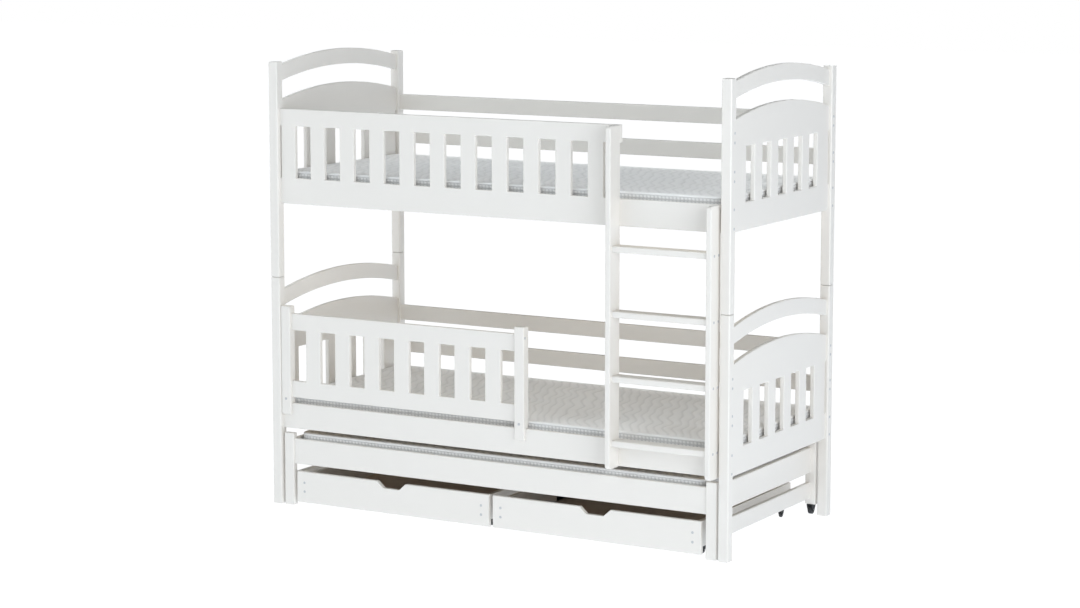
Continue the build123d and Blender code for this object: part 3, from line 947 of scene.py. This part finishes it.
def spunPiece(name, outline, centre, axis, steps, closed):
    # turns an outline of (along, radius) points once round an axis
    along = Vector((0, 0, 0))
    along[axis] = 1
    side = Vector((0, 0, 1))
    points = [centre + along * place + side * radius for place, radius in outline]
    chain = [(index, index + 1) for index in range(len(points) - 1)]
    if closed:
        chain.append((len(points) - 1, 0))
    obj = newObject(name, points, chain, [])
    editAll(obj)
    bpy.ops.mesh.spin(steps=steps, angle=2 * math.pi, center=centre, axis=along)
    bpy.ops.mesh.select_all(action="SELECT")
    bpy.ops.mesh.remove_doubles(threshold=touchingSpun)
    bpy.ops.mesh.normals_make_consistent(inside=False)
    bpy.ops.object.mode_set(mode="OBJECT")
    bpy.ops.object.shade_smooth_by_angle(angle=math.radians(shading["spunSmoothUpTo"]))
    return obj


screwCap = {
    "radius": 0.0052,
    "skirt": 0.0004,
    "step": 0.0006,
    "rim": 0.0007,
    "rimEdge": 0.00021,
    "height": 0.0013,
    "dome": [(0.75, 0.68), (0.94, 0.38), (1, 0)],  # in shares of the height and the radius
    "steps": 20,
}


def capOutline(sign):
    # a low dome with a small step round it
    radius = screwCap["radius"]
    points = [
        (0, radius),
        (screwCap["skirt"], radius),
        (screwCap["step"], radius - screwCap["rimEdge"]),
        (screwCap["step"], radius - screwCap["rim"]),
    ]
    points += [(screwCap["height"] * up, radius * out) for up, out in screwCap["dome"]]
    return [(sign * place, size) for place, size in points]


def makeCaps(node):
    # each cap looks to the ladder side, or along X away from the board that it sits on
    name = pieceName(node)
    leftFaces = [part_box(other)[0].x for other in ("left_front_post_lower", "ladder_left_stile")]
    caps = []
    for low, high in solidBoxes(node):
        centre = (low + high) / 2
        if high.y - low.y < high.x - low.x:
            axis, sign = alongY, -1
            centre.y = high.y
        elif min(abs(high.x - face) for face in leftFaces) < touching:
            axis, sign = alongX, -1
            centre.x = high.x
        else:
            axis, sign = alongX, 1
            centre.x = low.x
        outline = capOutline(sign)
        caps.append(spunPiece(name + "Cap", outline, centre, axis, screwCap["steps"], False))
    finishPiece(joined(caps, name), node, capPlastic)


for node in ("frame_screw_caps", "left_drawer_screw_caps", "right_drawer_screw_caps"):
    makeCaps(node)
print("screw caps made")


caster = {
    "hub": 0.42,  # hub, shoulder and its cut are shares of the wheel's radius
    "shoulder": 0.14,
    "shoulderCut": 0.3,
    "dish": 0.12,  # a share of the wheel's width
    "steps": 40,
    "forkEdge": 0.0004,
    "forkSteps": 2,
    "pinHead": 0.0012,
    "pinDome": [(0, 1), (0.5, 1), (0.9, 0.7), (1, 0)],  # in shares of the head and its radius
    "pinSteps": 20,
}
trundleCaster = {"bore": 0.00305, "pinRadius": 0.0030}
drawerCaster = {"bore": 0.00205, "pinRadius": 0.0022}


def wheelOutline(radius, width, bore):
    # half a wheel's section from bore to tread and back: hub, dished web, round shoulders
    half = width / 2
    hub = radius * caster["hub"]
    dish = width * caster["dish"]
    shoulder = radius * caster["shoulder"]
    cut = shoulder * caster["shoulderCut"]
    rimInner = radius - shoulder * 2
    side = [
        (half, bore),
        (half, hub),
        (half - dish, hub + dish),
        (half - dish, rimInner - dish),
        (half, rimInner),
        (half, radius - shoulder),
        (half - cut, radius - cut),
        (half - shoulder, radius),
    ]
    return side + [(-place, size) for place, size in reversed(side)]


def makeWheels(node, bore):
    name = pieceName(node)
    wheels = []
    for low, high in solidBoxes(node):
        outline = wheelOutline((high.z - low.z) / 2, high.x - low.x, bore)
        centre = (low + high) / 2
        wheels.append(spunPiece(name + "Wheel", outline, centre, alongX, caster["steps"], True))
    finishPiece(joined(wheels, name), node, wheelPlastic)


def makeForks(node, wheelNodes, pinRadius):
    # forks from the solids, with a rounded steel pin head outside each cheek
    forks = copiedNode(node)
    name = pieceName(node)
    roundEdges(forks, caster["forkEdge"], caster["forkSteps"])
    forks.data.materials.clear()
    forks.data.materials.append(forkPlastic)
    wheels = [box for wheelNode in wheelNodes for box in solidBoxes(wheelNode)]
    heads = []
    for low, high in solidBoxes(node):
        for wheelLow, wheelHigh in wheels:
            centre = (wheelLow + wheelHigh) / 2
            if not all(low[axis] < centre[axis] < high[axis] for axis in (alongX, alongY)):
                continue
            for face, sign in ((low.x, -1), (high.x, 1)):
                centre.x = face
                outline = [
                    (sign * caster["pinHead"] * up, pinRadius * out)
                    for up, out in caster["pinDome"]
                ]
                steps = caster["pinSteps"]
                heads.append(spunPiece(name + "Pin", outline, centre, alongX, steps, False))
    for head in heads:
        head.data.materials.append(zincSteel)
    finishPiece(joined([forks] + heads, name), node)


makeWheels("trundle_wheels", trundleCaster["bore"])
makeForks("trundle_caster_forks", ["trundle_wheels"], trundleCaster["pinRadius"])
for side in ("left", "right"):
    wheelNodes = [side + "_drawer_front_wheels", side + "_drawer_back_wheels"]
    for node in wheelNodes:
        makeWheels(node, drawerCaster["bore"])
    makeForks(side + "_drawer_caster_forks", wheelNodes, drawerCaster["pinRadius"])
print("casters made")


def dressNode(node, material):
    # the solid itself is shown
    for slot in frame["nodes"][node].material_slots:
        slot.material = material


dressNode("left_drawer_floor", brownHardboard)
dressNode("right_drawer_floor", brownHardboard)
dressNode("post_dowels", pines[alongZ])
print("left over nodes dressed")


coolWhite = (0.935, 0.97, 1.00)
stage = {
    "floorSize": 60,
    "floorDrop": 0.0002,
    "floorShade": 0.08,  # how much of the shadows the camera sees
    "floorColour": (0.80, 0.80, 0.80),
    "floorWhite": 1.06,
    "floorGlow": 0.58,
    "glowColour": (0.81, 0.89, 1.0),
    "sky": 0.06,
    "lightAway": 7.0,
    "lightSize": 4.0,
    # lights as (turn, lift, power, colour): 0 shines on the ladder side, 90 on the right end
    "lights": [
        (-60, 10, 68, (1.00, 0.94, 0.88)),
        (-30, 40, 112, (0.84, 0.94, 1.00)),
        (30, 10, 55, coolWhite),
        (60, 10, 195, coolWhite),
        (105, 5, 26, coolWhite),
        (0, 85, 150, (0.94, 0.975, 1.00)),
        (180, 15, 120, coolWhite),
        (240, 15, 80, coolWhite),
    ],
}


def makeFloor():
    # a pale floor that the camera sees almost without shadows
    bpy.ops.object.select_all(action="DESELECT")
    spot = (0, 0, -stage["floorDrop"])
    bpy.ops.mesh.primitive_plane_add(size=stage["floorSize"], location=spot)
    floor = bpy.context.object
    floor.name = "floor"
    finish = Finish(bpy.data.materials.new("paleFloor"))
    matt = finish.node("ShaderNodeBsdfDiffuse", None, {"Color": (*stage["floorColour"], 1)})
    glow = {"Color": (*stage["glowColour"], 1), "Strength": stage["floorGlow"]}
    glow = finish.node("ShaderNodeEmission", None, glow)
    lit = finish.node("ShaderNodeAddShader", None, {0: matt, 1: glow})
    plain = {"Color": (1, 1, 1, 1), "Strength": stage["floorWhite"]}
    plain = finish.node("ShaderNodeEmission", None, plain)
    seen = finish.node("ShaderNodeLightPath", out="Is Camera Ray") * (1 - stage["floorShade"])
    shader = finish.node("ShaderNodeMixShader", None, {0: seen, 1: lit, 2: plain})
    finish.node("ShaderNodeOutputMaterial", None, {"Surface": shader})
    floor.data.materials.append(finish.owner)


def makeSky():
    # a dim sky for the bed, and a white one for the camera
    world = bpy.data.worlds.new("studio")
    bpy.context.scene.world = world
    finish = Finish(world)
    white = {"Color": (1, 1, 1, 1)}
    dim = finish.node("ShaderNodeBackground", None, {**white, "Strength": stage["sky"]})
    plain = finish.node("ShaderNodeBackground", None, white)
    seen = finish.node("ShaderNodeLightPath", out="Is Camera Ray")
    shader = finish.node("ShaderNodeMixShader", None, {0: seen, 1: dim, 2: plain})
    finish.node("ShaderNodeOutputWorld", None, {"Surface": shader})


def makeLight(turn, lift, power, colour):
    # a large soft light that looks at the middle of the bed
    target = (cadBounds[0] + cadBounds[1]) / 2
    turn, lift = math.radians(turn), math.radians(lift)
    level = math.cos(lift)
    back = Vector((math.sin(turn) * level, -math.cos(turn) * level, math.sin(lift)))
    data = bpy.data.lights.new("softLight", "AREA")
    data.shape = "SQUARE"
    data.size = stage["lightSize"]
    data.energy = power
    data.color = colour
    light = placed("softLight", data)
    light.location = target + back * stage["lightAway"]
    light.rotation_euler = (-back).to_track_quat("-Z", "Y").to_euler()


makeFloor()
makeSky()
for turn, lift, power, colour in stage["lights"]:
    makeLight(turn, lift, power, colour)
bpy.context.scene.view_settings.view_transform = "Standard"
bpy.context.scene.view_settings.look = "None"
print("stage made")


camera = {
    "place": (5.2306, -9.1225, 2.3779),
    "down": 0.1338,
    "turn": 0.5228,
    "sensor": 36,
    # in pixels of the photo
    "focal": 2767.6,
    "frameWidth": 1080,
    "shift": -40,
    "reach": 200,
}


def makeCamera():
    data = bpy.data.cameras.new("camera")
    data.sensor_width = camera["sensor"]
    data.lens = camera["focal"] / camera["frameWidth"] * camera["sensor"]
    data.shift_y = camera["shift"] / camera["frameWidth"]
    data.clip_end = camera["reach"]
    obj = placed("camera", data)
    obj.location = camera["place"]
    obj.rotation_euler = Euler((math.pi / 2 - camera["down"], 0, camera["turn"]))
    bpy.context.scene.camera = obj


makeCamera()
